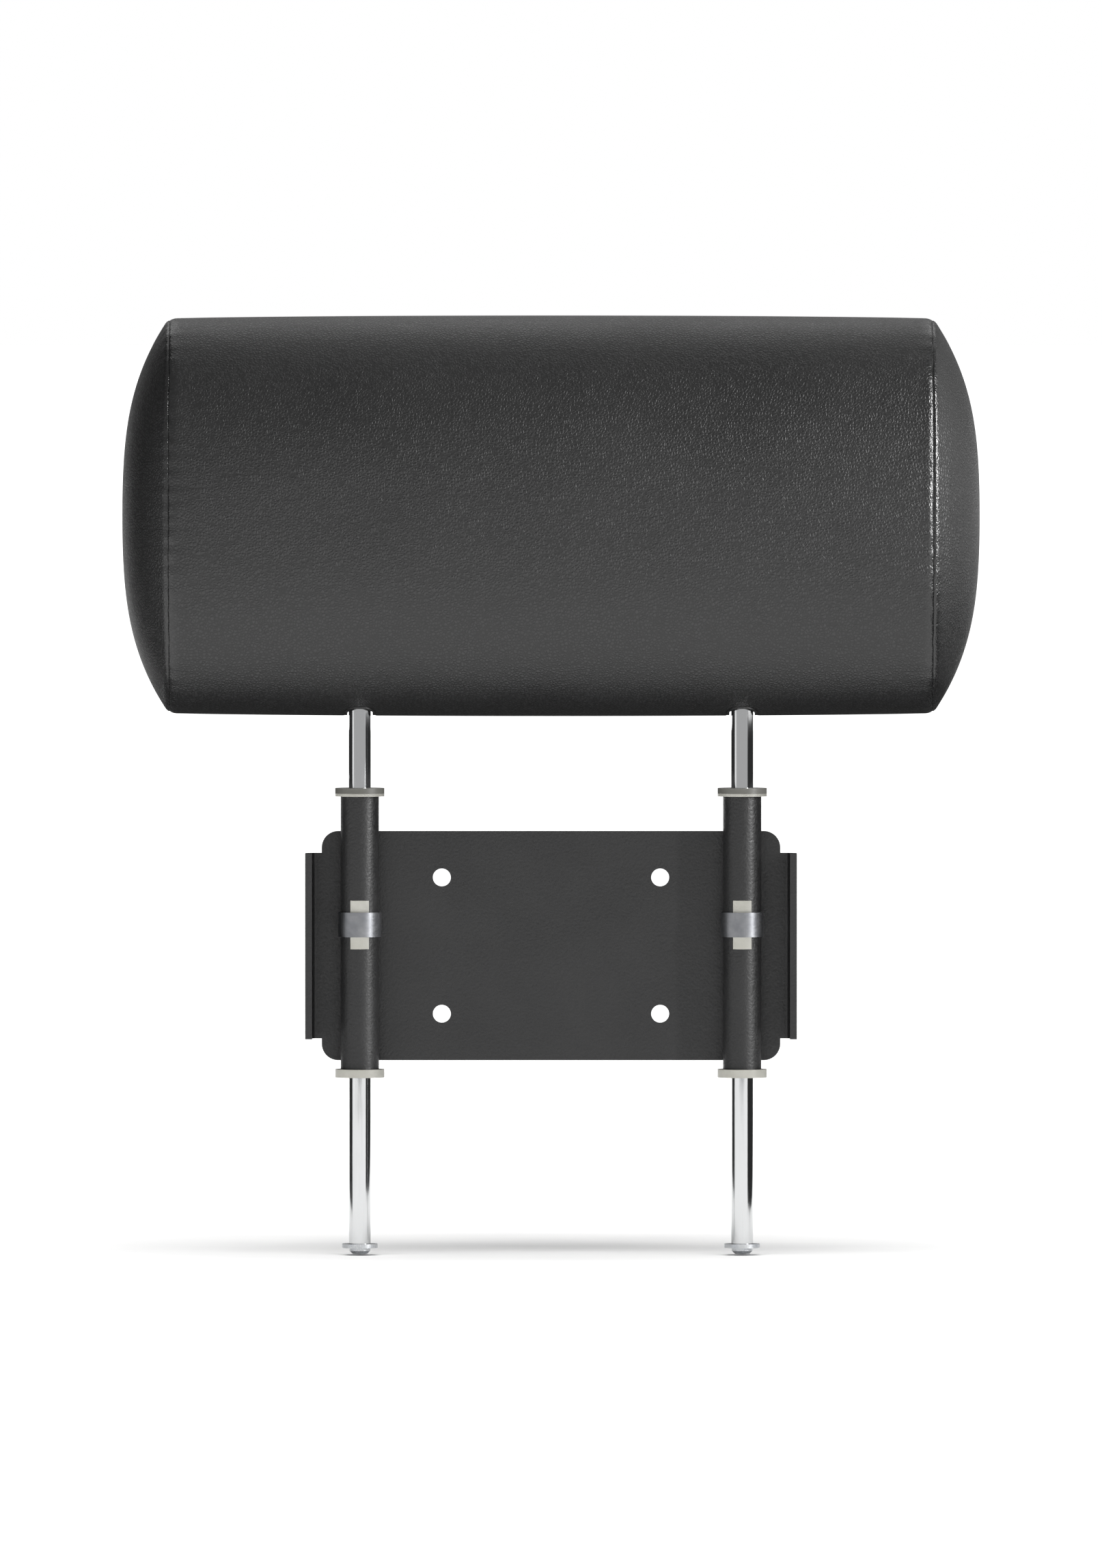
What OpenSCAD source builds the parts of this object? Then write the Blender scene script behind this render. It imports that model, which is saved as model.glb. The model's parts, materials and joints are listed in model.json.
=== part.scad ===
// Chair headrest: a leather bolster that tilts on the cross bar of a bent chrome rod. The rod's
// two legs slide in friction guides, which are welded to a plate that bolts inside the chair's back.
// +Z is up, -Y is the head's side, +X is the sitter's left. The origin is the centre of the
// bolt pattern, on the plate's front face. The pad stands upright at its lowest height.

/* [Pad] */
// Height of the pad, from its underside to its top
pad_h = 147; // [140:1:160]
// Depth of the pad, from its face to its back
pad_d = 96; // [92:1:104]
// Distance between the two end seams
seam_span = 280; // [270:1:320]
// How far each end panel bulges past its seam
end_bulge = 17.5; // [12:0.5:24]
// Squareness of the pad's section: 2 is an ellipse, and higher is squarer
section_power = 2.4; // [2.2:0.1:3]
// Thickness of the leather cover
cover_t = 2; // [1.5:0.1:2.5]

/* [Posts] */
// Diameter of the chrome rod
post_d = 8; // [7:0.5:8]
// Distance between the two posts
post_span = 140; // [132:1:150]
// How far the posts stand behind the middle of the pad
post_offset = 12; // [10:1:13]
// Gap between the guides and the pad's underside at the lowest height
post_gap = 26; // [24:1:40]
// Height adjustment
travel = 60; // [40:5:70]

/* [Tilt] */
// Height of the tilt axis above the pad's underside
pivot_rise = 45; // [44:1:50]
// How far the pad's top tips back from upright
tilt_back = 0; // [0:1:5]
// How far the pad's top tips forward
tilt_forward = 25; // [15:1:25]

/* [Bracket] */
// Width of the mounting plate
plate_w = 180; // [172:2:200]
// Height of the mounting plate
plate_h = 84; // [76:2:90]
// Thickness of the mounting plate
plate_t = 2.5; // [2:0.5:3]
// Spacing of the bolt holes across the plate
bolt_x = 80; // [60:5:90]
// Spacing of the bolt holes up the plate
bolt_z = 50; // [40:5:55]
// Diameter of the bolt holes
bolt_hole_d = 6.6; // [5.5:0.1:6.6]

/* [Hidden] */
$fn = 64;
left = 1;
right = -1;
sides = [left, right];

black_leather = [0.09, 0.09, 0.09];
black_paint = [0.13, 0.13, 0.14];
black_nylon = [0.17, 0.17, 0.17];
chrome = [0.80, 0.81, 0.83];
zinc = [0.66, 0.68, 0.70];
spring_steel = [0.42, 0.44, 0.48];
natural_nylon = [0.88, 0.87, 0.82];
plywood = [0.76, 0.60, 0.40];
pale_foam = [0.90, 0.87, 0.72];

running_gap = 0.05; // radial clearance of every sliding or turning fit
washer_gap = 0.1; // radial clearance between a screw and its washer
eps = 1; // how far a cutting shape runs past the face that it opens

// Guides, along the two vertical post axes
tube_d = 14;
tube_bore = 11;
tube_low = -45;
tube_high = 55;
post_x = post_span / 2;
post_y = plate_t + tube_d / 2;
bush_len = 18;
flange_d = 18;
flange_t = 3;
guide_top = tube_high + flange_t;
guide_bottom = tube_low - flange_t;

// Spring brake, in a window in the rear of each guide tube
brake_z = 8;
window_w = 7;
window_h = 18;
shoe_gap = 0.1;
clip_h = 9;
clip_t = 0.9;
clip_mouth = 130;

// Bolted plate
fold_r = 4;
fold_depth = 10;
flange_h = plate_h - 16;
corner_r = 6;
bead_r = 2.4;
bead_len = 16;

// Bent rod
bend_r = 16;
bar_half = post_x - bend_r;
pad_low = guide_top + post_gap;
pivot_z = pad_low + pivot_rise;
stop_gap = 1;
post_low = guide_bottom - travel - stop_gap;
washer_d = 13;
washer_t = 1.5;
stop_thread_d = 4;
stop_thread_len = 10;
stop_head_d = 7.6;
stop_head_t = 2.2;
stop_hex_key = 2.5;

// Pad, in its own coordinates: the origin is the middle of its section
section_points = 48;
dome_rings = 7;
foam_inset = cover_t + 0.2;
pad_y = post_y - post_offset;
pad_z = pad_low + pad_h / 2;
axis_z = pivot_z - pad_z;

// Board that carries the clamps
board_rear = -3;
board_t = 9;
board_w = 250;
board_low = axis_z - 19.5;
board_high = board_low + 98;
board_r = 15;
board_hole_d = 7;

// Pivot clamps on the rod's cross bar
clamp_x = 35;
clamp_w = 24;
clamp_h = 34;
clamp_split = 0.8;
cap_depth = 9.5;
liner_d = 12;
liner_flange_d = 15;
liner_flange_t = 1;
liner_slit = 0.8;
screw_pitch = 22;
clamp_thread_d = 5;
clamp_screw_len = 35;
clearance_hole_d = 5.5;
screw_head_d = 9.5;
screw_head_t = 2.8;
hex_key = 3;
spring_washer_d = 8.8;
spring_washer_t = 1.2;
spring_washer_slit = 1;
tee_flange_d = 15;
tee_flange_t = 1.2;
tee_barrel_d = 7;
tee_barrel_len = 8;
tee_prong = [1, 2, 5];

// Slots in the pad's underside, where the posts pass and swing
slot_w = post_d + 1.4;
slot_front = post_offset - pivot_rise * tan(tilt_forward);
slot_rear = post_offset + pivot_rise * tan(tilt_back);
slot_depth = 12;
trim_wall = 1;
trim_lip = 1.6;
trim_lip_t = 1;
trim_recess = 0.4; // how far the trim's edge lies below the outside of the leather
trim_span = slot_w + 2 * trim_wall;
lip_span = trim_span + 2 * trim_lip;

// Room that the foam leaves round the rod and the clamps
pocket_gap = 1.5;
post_room = post_d + 2 * pocket_gap;

// ---------- Section of the pad ----------

// One point of the superellipse that lies inset from the cover's outside, at parameter t
function section_point(inset, t) =
    let (reach_y = pad_d / 2 - inset, reach_z = pad_h / 2 - inset, p = 2 / section_power)
    [reach_y * sign(cos(t)) * pow(abs(cos(t)), p), reach_z * sign(sin(t)) * pow(abs(sin(t)), p)];

function section(inset) =
    [for (i = [0 : section_points - 1]) section_point(inset, 360 * i / section_points)];

// A ring of 3-D points at x: the section scaled by rho
function ring(inset, rho, x) = [for (p = section(inset)) [x, rho * p.x, rho * p.y]];

// Height of the domed end panel at rho, which is 0 at its middle and 1 at its seam
function dome(inset, rho) = (end_bulge - inset) * (1 - pow(rho, 3));

// The rings of one end, from the seam to the middle of the dome, on the given side
function end_rings(inset, side) =
    [for (i = [dome_rings : -1 : 1])
        let (rho = i / dome_rings)
        ring(inset, rho, side * (seam_span / 2 + dome(inset, rho)))];

function reversed(list) = [for (i = [len(list) - 1 : -1 : 0]) list[i]];

// Closed solid through rings that run towards +X
module loft(rings) {
    n = len(rings[0]);
    last = len(rings) - 1;
    points = [for (r = rings) each r];
    walls = [for (k = [0 : last - 1], i = [0 : n - 1])
        let (j = (i + 1) % n)
        [(k + 1) * n + i, (k + 1) * n + j, k * n + j, k * n + i]];
    first_cap = [for (i = [0 : n - 1]) i];
    last_cap = [for (i = [n - 1 : -1 : 0]) last * n + i];
    polyhedron(points, concat(walls, [first_cap, last_cap]));
}

// Turns an outline drawn in Y and Z, and extruded upwards, so that it lies along X
module along_x(length) {
    rotate([90, 0, 90]) linear_extrude(height = length, center = true) children();
}

module in_pad() {
    translate([0, pad_y, pad_z]) children();
}

// ---------- Shared shapes ----------

module stadium(low, high, width) {
    translate([-width / 2, low]) square([width, high - low]);
    for (y = [low, high]) translate([0, y]) circle(d = width);
}

module button_screw(thread_d, length, head_d, head_t, key) {
    difference() {
        union() {
            cylinder(d = thread_d, h = length);
            translate([0, 0, -head_t / 2]) cylinder(d = head_d, h = head_t / 2);
            translate([0, 0, -head_t]) cylinder(d1 = head_d * 0.7, d2 = head_d, h = head_t / 2);
        }
        translate([0, 0, -head_t - eps]) cylinder(d = key / cos(30), h = head_t * 0.6 + eps, $fn = 6);
    }
}

module rounded_plate(width, height, radius, thickness) {
    rotate([90, 0, 0]) linear_extrude(height = thickness, center = true) {
        square([width - 2 * radius, height], center = true);
        square([width, height - 2 * radius], center = true);
        for (x = [-1, 1], y = [-1, 1]) {
            translate([x * (width / 2 - radius), y * (height / 2 - radius)]) circle(r = radius);
        }
    }
}

// ---------- Bracket ----------

module folded_edge(side) {
    mirror([side == left ? 0 : 1, 0, 0]) {
        square([plate_w / 2 - fold_r, plate_t]);
        translate([plate_w / 2 - plate_t, fold_r]) square([plate_t, fold_depth + plate_t - fold_r]);
        translate([plate_w / 2 - fold_r, fold_r]) intersection() {
            difference() {
                circle(r = fold_r);
                circle(r = fold_r - plate_t);
            }
            translate([0, -fold_r]) square(fold_r);
        }
    }
}

module mount_plate() {
    color(black_paint) difference() {
        union() {
            translate([0, plate_t / 2, 0])
                rounded_plate(plate_w - 3 * fold_r, plate_h, corner_r, plate_t);
            for (side = sides) {
                linear_extrude(height = flange_h, center = true) folded_edge(side);
            }
        }
        for (x = [-1, 1], z = [-1, 1]) {
            translate([x * bolt_x / 2, -eps, z * bolt_z / 2])
                rotate([-90, 0, 0]) cylinder(d = bolt_hole_d, h = plate_t + 2 * eps);
        }
    }
}

module guide_tube(side) {
    color(black_paint) translate([side * post_x, post_y, 0]) difference() {
        translate([0, 0, tube_low]) cylinder(d = tube_d, h = tube_high - tube_low);
        translate([0, 0, tube_low - eps]) cylinder(d = tube_bore, h = tube_high - tube_low + 2 * eps);
        translate([-window_w / 2, 0, brake_z - window_h / 2]) cube([window_w, tube_d, window_h]);
    }
}

// Fillet welds that join both tubes to the plate
module weld_beads() {
    bead_x = 5;
    bead_y = plate_t + 0.6;
    color(black_paint) for (side = sides, edge = [-1, 1], z = [-1, 1]) {
        difference() {
            translate([side * post_x + edge * bead_x, bead_y, z * plate_h / 3])
                cylinder(r = bead_r, h = bead_len, center = true);
            translate([side * post_x, post_y, tube_low]) cylinder(d = tube_d, h = tube_high - tube_low);
            translate([-plate_w / 2, plate_t - 2 * bead_r, tube_low])
                cube([plate_w, 2 * bead_r, tube_high - tube_low]);
        }
    }
}

// Flanged bush with its flange upwards
module bush() {
    color(natural_nylon) difference() {
        union() {
            translate([0, 0, -bush_len]) cylinder(d = tube_bore, h = bush_len);
            cylinder(d = flange_d, h = flange_t);
        }
        translate([0, 0, -bush_len - eps])
            cylinder(d = post_d + 2 * running_gap, h = bush_len + flange_t + 2 * eps);
    }
}

module upper_bush(side) {
    translate([side * post_x, post_y, tube_high]) bush();
}

module lower_bush(side) {
    translate([side * post_x, post_y, tube_low]) rotate([180, 0, 0]) bush();
}

// Nylon block that the clip presses against the post, through the tube's window
module brake_shoe(side) {
    width = window_w - 2 * shoe_gap;
    height = window_h - 2 * shoe_gap;
    color(natural_nylon) translate([side * post_x, post_y, brake_z]) difference() {
        intersection() {
            translate([-width / 2, 0, -height / 2]) cube([width, tube_d, height]);
            cylinder(d = tube_d, h = height, center = true);
        }
        cylinder(d = post_d + 2 * running_gap, h = height + 2 * eps, center = true);
    }
}

// Open spring band round the guide tube
module brake_clip(side) {
    outer = tube_d / 2 + clip_t;
    reach = 2 * outer;
    color(spring_steel) translate([side * post_x, post_y, brake_z])
        linear_extrude(height = clip_h, center = true) difference() {
            circle(r = outer);
            circle(d = tube_d);
            polygon([[0, 0], reach * [-sin(clip_mouth / 2), -cos(clip_mouth / 2)],
                [-reach, -reach], [reach, -reach], reach * [sin(clip_mouth / 2), -cos(clip_mouth / 2)]]);
        }
}

// ---------- Posts ----------

// One rod: two vertical legs, a bend at the top of each, and a cross bar that is the tilt axis
module post_frame() {
    color(chrome) difference() {
        union() {
            translate([0, post_y, pivot_z]) rotate([0, 90, 0])
                cylinder(d = post_d, h = 2 * bar_half, center = true);
            for (side = sides) {
                translate([side * post_x, post_y, post_low])
                    cylinder(d = post_d, h = pivot_z - bend_r - post_low);
                top_bend(side);
            }
        }
        for (side = sides) {
            translate([side * post_x, post_y, post_low - eps])
                cylinder(d = stop_thread_d + 2 * running_gap, h = stop_thread_len + 2 + eps);
        }
    }
}

module top_bend(side) {
    mirror([side == left ? 0 : 1, 0, 0]) translate([bar_half, post_y, pivot_z - bend_r])
        rotate([90, 0, 0]) rotate_extrude(angle = 90) translate([bend_r, 0]) circle(d = post_d);
}

module stop_washer(side) {
    color(zinc) translate([side * post_x, post_y, post_low - washer_t]) difference() {
        cylinder(d = washer_d, h = washer_t);
        translate([0, 0, -eps]) cylinder(d = stop_thread_d + 2 * washer_gap, h = washer_t + 2 * eps);
    }
}

module stop_screw(side) {
    color(zinc) translate([side * post_x, post_y, post_low - washer_t])
        button_screw(stop_thread_d, stop_thread_len, stop_head_d, stop_head_t, stop_hex_key);
}

// ---------- Frame inside the pad ----------

module board_outline() {
    translate([0, board_rear - board_t / 2, (board_low + board_high) / 2])
        rounded_plate(board_w, board_high - board_low, board_r, board_t);
}

// Places its children on each of the four clamp screws' axes, pointing forwards from y
module at_clamp_screws(y) {
    for (side = sides, z = [-1, 1]) {
        translate([side * clamp_x, y, axis_z + z * screw_pitch / 2]) rotate([90, 0, 0]) children();
    }
}

module at_clamp(side) {
    translate([side * clamp_x, post_offset, axis_z]) children();
}

module inner_board() {
    color(plywood) in_pad() difference() {
        board_outline();
        at_clamp_screws(board_rear + eps) cylinder(d = board_hole_d, h = board_t + 2 * eps);
    }
}

// Half of a pivot clamp, from y_low to y_high of the tilt axis, with a groove for the liner
module clamp_half(side, y_low, y_high) {
    color(black_nylon) in_pad() difference() {
        at_clamp(side) translate([-clamp_w / 2, y_low, -clamp_h / 2])
            cube([clamp_w, y_high - y_low, clamp_h]);
        at_clamp(side) rotate([0, 90, 0]) cylinder(d = liner_d, h = clamp_w + 2 * eps, center = true);
        at_clamp_screws(post_offset + y_high + eps)
            cylinder(d = clearance_hole_d, h = y_high - y_low + 2 * eps);
    }
}

module pivot_base(side) {
    clamp_half(side, board_rear - post_offset, -clamp_split / 2);
}

module pivot_cap(side) {
    clamp_half(side, clamp_split / 2, cap_depth);
}

// Split nylon sleeve that grips the cross bar and makes the tilt stiff
module pivot_liner(side) {
    color(natural_nylon) in_pad() at_clamp(side) rotate([0, 90, 0]) difference() {
        union() {
            cylinder(d = liner_d, h = clamp_w, center = true);
            for (end = [-1, 1]) {
                translate([0, 0, end * (clamp_w + liner_flange_t) / 2])
                    cylinder(d = liner_flange_d, h = liner_flange_t, center = true);
            }
        }
        cylinder(d = post_d + 2 * running_gap, h = 2 * clamp_w, center = true);
        translate([0, liner_flange_d / 2, 0])
            cube([liner_slit, liner_flange_d, 2 * clamp_w], center = true);
    }
}

module clamp_screws() {
    color(zinc) in_pad() at_clamp_screws(post_offset + cap_depth + spring_washer_t)
        button_screw(clamp_thread_d, clamp_screw_len, screw_head_d, screw_head_t, hex_key);
}

module clamp_spring_washers() {
    color(spring_steel) in_pad() at_clamp_screws(post_offset + cap_depth + spring_washer_t) difference() {
        cylinder(d = spring_washer_d, h = spring_washer_t);
        translate([0, 0, -eps])
            cylinder(d = clamp_thread_d + 2 * washer_gap, h = spring_washer_t + 2 * eps);
        translate([0, -spring_washer_slit / 2, -eps])
            cube([spring_washer_d, spring_washer_slit, spring_washer_t + 2 * eps]);
    }
}

// Four-pronged nuts in the front of the board
module tee_nuts() {
    color(zinc) in_pad() at_clamp_screws(board_rear - board_t) difference() {
        union() {
            cylinder(d = tee_flange_d, h = tee_flange_t);
            translate([0, 0, -tee_barrel_len]) cylinder(d = tee_barrel_d, h = tee_barrel_len);
            for (a = [45 : 90 : 315]) rotate([0, 0, a])
                translate([tee_flange_d / 2 - 1.5 * tee_prong.x, 0, -tee_prong.z / 2])
                    cube(tee_prong, center = true);
        }
        translate([0, 0, -tee_barrel_len - eps])
            cylinder(d = clamp_thread_d + 2 * running_gap, h = tee_barrel_len + tee_flange_t + 2 * eps);
    }
}

// ---------- Foam ----------

// The whole inside of the cover, before the two halves are parted
module foam_body() {
    loft(concat(reversed(end_rings(foam_inset, right)), end_rings(foam_inset, left)));
}

// Fan that a post sweeps below the tilt axis, as seen from the side
module post_fan() {
    reach = 1.5 * pivot_rise;
    half = post_room / 2;
    front = half * [-cos(tilt_forward), sin(tilt_forward)];
    rear = half * [cos(tilt_back), sin(tilt_back)];
    polygon([
        [-half, half],
        front,
        front + reach * [-sin(tilt_forward), -cos(tilt_forward)],
        rear + reach * [sin(tilt_back), -cos(tilt_back)],
        rear,
        [half, half]
    ]);
}

// Room for the rod, the clamps, their screws and the board
module foam_pockets() {
    head_room = cap_depth + spring_washer_t + screw_head_t + pocket_gap;
    clamp_room = clamp_w + 2 * liner_flange_t + 2 * pocket_gap;
    translate([-bar_half, board_rear - eps, axis_z - post_room / 2])
        cube([2 * bar_half, post_offset + post_room / 2 - board_rear + eps, post_room]);
    for (side = sides) {
        translate([side * post_x, post_offset, axis_z]) along_x(post_room) post_fan();
        bend_pocket(side);
        translate([side * clamp_x - clamp_room / 2, board_rear - eps, axis_z - clamp_h / 2 - pocket_gap])
            cube([clamp_room, post_offset + head_room - board_rear + eps, clamp_h + 2 * pocket_gap]);
        slot_cutter(side, lip_span);
    }
    board_outline();
    at_clamp_screws(board_rear - board_t + eps)
        cylinder(d = tee_flange_d + 2 * pocket_gap, h = 2 * pocket_gap + eps);
}

// Room for the bend between a post and the cross bar, over the whole tilt
module bend_pocket(side) {
    low = bend_r + post_room / 2;
    intersection() {
        translate([side * (post_x - bend_r / 2), post_offset, axis_z])
            along_x(bend_r + post_room) post_fan();
        translate([-post_span, -pad_d / 2, axis_z - low]) cube([2 * post_span, pad_d, low + post_room]);
    }
}

module foam_half(keep_front) {
    color(pale_foam) in_pad() difference() {
        foam_body();
        translate([-seam_span, keep_front ? board_rear : board_rear - pad_d, -pad_h])
            cube([2 * seam_span, pad_d, 2 * pad_h]);
        foam_pockets();
    }
}

module foam_front() {
    foam_half(true);
}

module foam_rear() {
    foam_half(false);
}

// ---------- Leather cover ----------

// A tube of the pad's section between two insets
module section_band(outer, inner, length) {
    along_x(length) difference() {
        polygon(section(outer));
        polygon(section(inner));
    }
}

// Upright stadium that opens the cover's underside
module slot_cutter(side, width) {
    translate([side * post_x, 0, -pad_h / 2 - slot_depth / 2])
        linear_extrude(height = 1.5 * slot_depth) stadium(slot_front, slot_rear, width);
}

module cover_wrap() {
    color(black_leather) in_pad() difference() {
        section_band(0, cover_t, seam_span);
        for (side = sides) slot_cutter(side, trim_span);
    }
}

module end_solid(inset, side) {
    seam_x = side * seam_span / 2;
    rings = concat([ring(inset, 1, seam_x - side * eps)], end_rings(inset, side));
    loft(side == left ? rings : reversed(rings));
}

module cover_end(side) {
    color(black_leather) in_pad() difference() {
        end_solid(0, side);
        end_solid(cover_t, side);
        translate([side * (seam_span / 2 - 5), 0, 0]) cube([10, 2 * pad_d, 2 * pad_h], center = true);
    }
}

// Plastic edging of one slot: a wall through the leather and a lip behind it
module slot_trim(side) {
    inner = cover_t + trim_lip_t;
    color(black_nylon) in_pad() difference() {
        union() {
            intersection() {
                translate([side * post_x, 0, 0]) section_band(trim_recess, inner, lip_span);
                slot_cutter(side, trim_span);
            }
            intersection() {
                translate([side * post_x, 0, 0]) section_band(cover_t, inner, lip_span);
                slot_cutter(side, lip_span);
            }
        }
        slot_cutter(side, slot_w);
    }
}

// ---------- Nodes ----------

mount_plate();
guide_tube(left);  // guide_tube_left
guide_tube(right);  // guide_tube_right
weld_beads();
upper_bush(left);  // upper_bush_left
upper_bush(right);  // upper_bush_right
lower_bush(left);  // lower_bush_left
lower_bush(right);  // lower_bush_right
brake_shoe(left);  // brake_shoe_left
brake_shoe(right);  // brake_shoe_right
brake_clip(left);  // brake_clip_left
brake_clip(right);  // brake_clip_right
post_frame();
stop_washer(left);  // stop_washer_left
stop_washer(right);  // stop_washer_right
stop_screw(left);  // stop_screw_left
stop_screw(right);  // stop_screw_right
inner_board();
pivot_base(left);  // pivot_base_left
pivot_base(right);  // pivot_base_right
pivot_cap(left);  // pivot_cap_left
pivot_cap(right);  // pivot_cap_right
pivot_liner(left);  // pivot_liner_left
pivot_liner(right);  // pivot_liner_right
clamp_screws();
clamp_spring_washers();
tee_nuts();
foam_front();
foam_rear();
cover_wrap();
cover_end(left);  // cover_end_left
cover_end(right);  // cover_end_right
slot_trim(left);  // slot_trim_left
slot_trim(right);  // slot_trim_right
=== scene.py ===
"""Looks of the chair headrest: leather cover, seams, welds, materials, studio and camera.

Lengths are in metres, in the CAD frame: +Z is up, -Y is the head's side and +X is the sitter's left.
"""

import json
import math

import bpy
import numpy as np
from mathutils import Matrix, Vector
from mathutils.kdtree import KDTree

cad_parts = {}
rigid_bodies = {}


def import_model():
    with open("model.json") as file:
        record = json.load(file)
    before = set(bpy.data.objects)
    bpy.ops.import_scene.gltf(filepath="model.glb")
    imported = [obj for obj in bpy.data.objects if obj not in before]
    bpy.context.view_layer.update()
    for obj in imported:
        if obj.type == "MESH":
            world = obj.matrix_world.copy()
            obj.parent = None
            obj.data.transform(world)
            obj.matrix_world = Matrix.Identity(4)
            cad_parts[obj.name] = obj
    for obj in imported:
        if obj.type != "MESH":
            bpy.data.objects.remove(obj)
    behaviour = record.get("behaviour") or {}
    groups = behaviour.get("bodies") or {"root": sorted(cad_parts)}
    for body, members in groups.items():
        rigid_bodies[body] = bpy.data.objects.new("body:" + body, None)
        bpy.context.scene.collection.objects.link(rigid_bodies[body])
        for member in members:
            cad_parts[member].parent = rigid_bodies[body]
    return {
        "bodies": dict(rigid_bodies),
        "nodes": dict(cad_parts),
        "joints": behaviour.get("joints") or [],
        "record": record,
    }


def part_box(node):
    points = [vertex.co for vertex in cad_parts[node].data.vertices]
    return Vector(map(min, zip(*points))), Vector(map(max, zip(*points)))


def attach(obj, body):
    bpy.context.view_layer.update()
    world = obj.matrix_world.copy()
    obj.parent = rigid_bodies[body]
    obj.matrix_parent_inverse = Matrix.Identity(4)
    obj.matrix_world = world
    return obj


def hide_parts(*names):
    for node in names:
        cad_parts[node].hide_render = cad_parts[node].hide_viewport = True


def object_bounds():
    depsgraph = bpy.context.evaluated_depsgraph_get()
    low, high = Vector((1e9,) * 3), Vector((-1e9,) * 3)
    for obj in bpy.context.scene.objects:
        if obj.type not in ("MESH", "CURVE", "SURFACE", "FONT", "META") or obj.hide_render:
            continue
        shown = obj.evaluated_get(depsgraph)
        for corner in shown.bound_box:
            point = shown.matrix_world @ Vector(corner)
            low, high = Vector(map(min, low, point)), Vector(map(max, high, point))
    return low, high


MM = 0.001
SEED = 7

# A distance beyond the reach of every seam
FAR = 1.0

# The cover's section, which the CAD model shares
SECTION_POWER = 2.4
SECTION_SAMPLES = 4000

# Coarse mesh of the cover, before it is inflated and subdivided. Its rings are closer together by the
# seams and slots, and the points of a ring are closer together beside the closing seam.
AROUND = 72
CAP_RINGS = AROUND // 8
FINEST = 2.0 * MM
COARSEST = 14 * MM
COARSENING = 0.5
RING_CROWDING = 1.6
SUBDIVISIONS = 2
BESIDE_CLOSING = MM * np.array([-4.5, -1.5, 0.0, 1.5, 4.5])

# Material index of each panel in that mesh
WRAP = 0
RIGHT_END = 1
LEFT_END = 2

# How far the slack cover lies inside its CAD solid, in its middle and at its seams, and how far
# the pressure may push it out
SLACK = 0.4 * MM
SEAM_SLACK = 1.0 * MM
SWELL_CAP = 1.0 * MM
PRESSURE = 12.0
SETTLE_FRAMES = 20

# End seams. The leather turns in on both sides, is rubbed shiny beside them, and puckers at a pitch that
# drifts a little.
LEATHER_THICKNESS = 1.2 * MM
WRAP_ROLL = 5.0 * MM
WRAP_SLOPE = 0.6
END_ROLL = 3.4 * MM
END_SLOPE = 0.7
RUBBED_REACH = 3.0 * MM
PUCKER_PITCH = 6.5 * MM
PUCKER_DEPTH = 0.3 * MM
PUCKER_REACH = 5.0 * MM
PUCKER_DRIFT = 0.35
PUCKER_DRIFT_LENGTH = 23 * MM

# How far past an end seam a point still counts as the wrap's
SEAM_TOLERANCE = 0.01 * MM

# Closing seam, low on the pad's front, and its stitches, which sink into the leather at both ends
CLOSING_ANGLE = 235.0
CLOSING_ROLL = WRAP_ROLL / 2
CLOSING_PUCKER_DEPTH = 0.7 * PUCKER_DEPTH
CLOSING_PUCKER_REACH = 2.5 * MM
STITCH_PITCH = 5.0 * MM
STITCH_REACH = 2.1 * MM
STITCH_SLANT = 0.8 * MM
STITCH_SINK = 0.75 * MM
STITCH_POINTS = 9
STITCH_MARGIN = 6 * MM
THREAD_RADIUS = 0.28 * MM

# Slot edges. The trim's wall passes through the leather, and its lip lies behind it.
TRIM_LIP = 1.6 * MM
SLOT_ROLL = 0.6 * MM
CUT_BELOW = 5 * MM
CUT_ABOVE = 3 * MM

# Weld beads. Each starts beside its tube's middle line, and shrinks in its first and last few steps.
WELD_LENGTH = 16 * MM
WELD_ROOT = 1.6 * MM
WELD_LEG = 4.3 * MM
WELD_END_LEG = 2.0 * MM
WELD_END_STEPS = 5
WELD_SMALLEST_SWELL = 0.02
WELD_RISE = 0.72
WELD_DRIFT = 0.12 * MM
RIPPLE_DEPTH = 0.22 * MM
RIPPLE_STEPS = 4
RIPPLE_BOW = 0.5 * MM

# Gap between the pad and the top of the chair's back, how far the dark cards stay below the pad, and how
# far the floor stays below the posts
CHAIR_GAP = 28 * MM
CARD_CLEARANCE = 10 * MM
FLOOR_CLEARANCE = 0.5 * MM


# ---------- Mesh helpers ----------


def mesh_object(name, points, faces, smooth=True):
    mesh = bpy.data.meshes.new(name)
    mesh.from_pydata([tuple(p) for p in points], [], faces)
    mesh.update()
    mesh.polygons.foreach_set("use_smooth", [smooth] * len(mesh.polygons))
    obj = bpy.data.objects.new(name, mesh)
    bpy.context.scene.collection.objects.link(obj)
    return obj


def coordinates(mesh):
    flat = np.empty(len(mesh.vertices) * 3)
    mesh.vertices.foreach_get("co", flat)
    return flat.reshape(-1, 3)


def set_coordinates(mesh, points):
    mesh.vertices.foreach_set("co", np.asarray(points, float).ravel())
    mesh.update()


def normals(mesh):
    flat = np.empty(len(mesh.vertices) * 3)
    mesh.vertex_normals.foreach_get("vector", flat)
    return flat.reshape(-1, 3)


def apply_modifiers(obj):
    graph = bpy.context.evaluated_depsgraph_get()
    mesh = bpy.data.meshes.new_from_object(obj.evaluated_get(graph))
    obj.modifiers.clear()
    obj.data = mesh


def ring_faces(rings, sides):
    """Quads between neighbouring rings of points, each ring closed in itself."""
    faces = []
    for first in range(0, (rings - 1) * sides, sides):
        for s in range(sides):
            ahead = (s + 1) % sides
            faces.append((first + s, first + ahead, first + sides + ahead, first + sides + s))
    return faces


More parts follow.
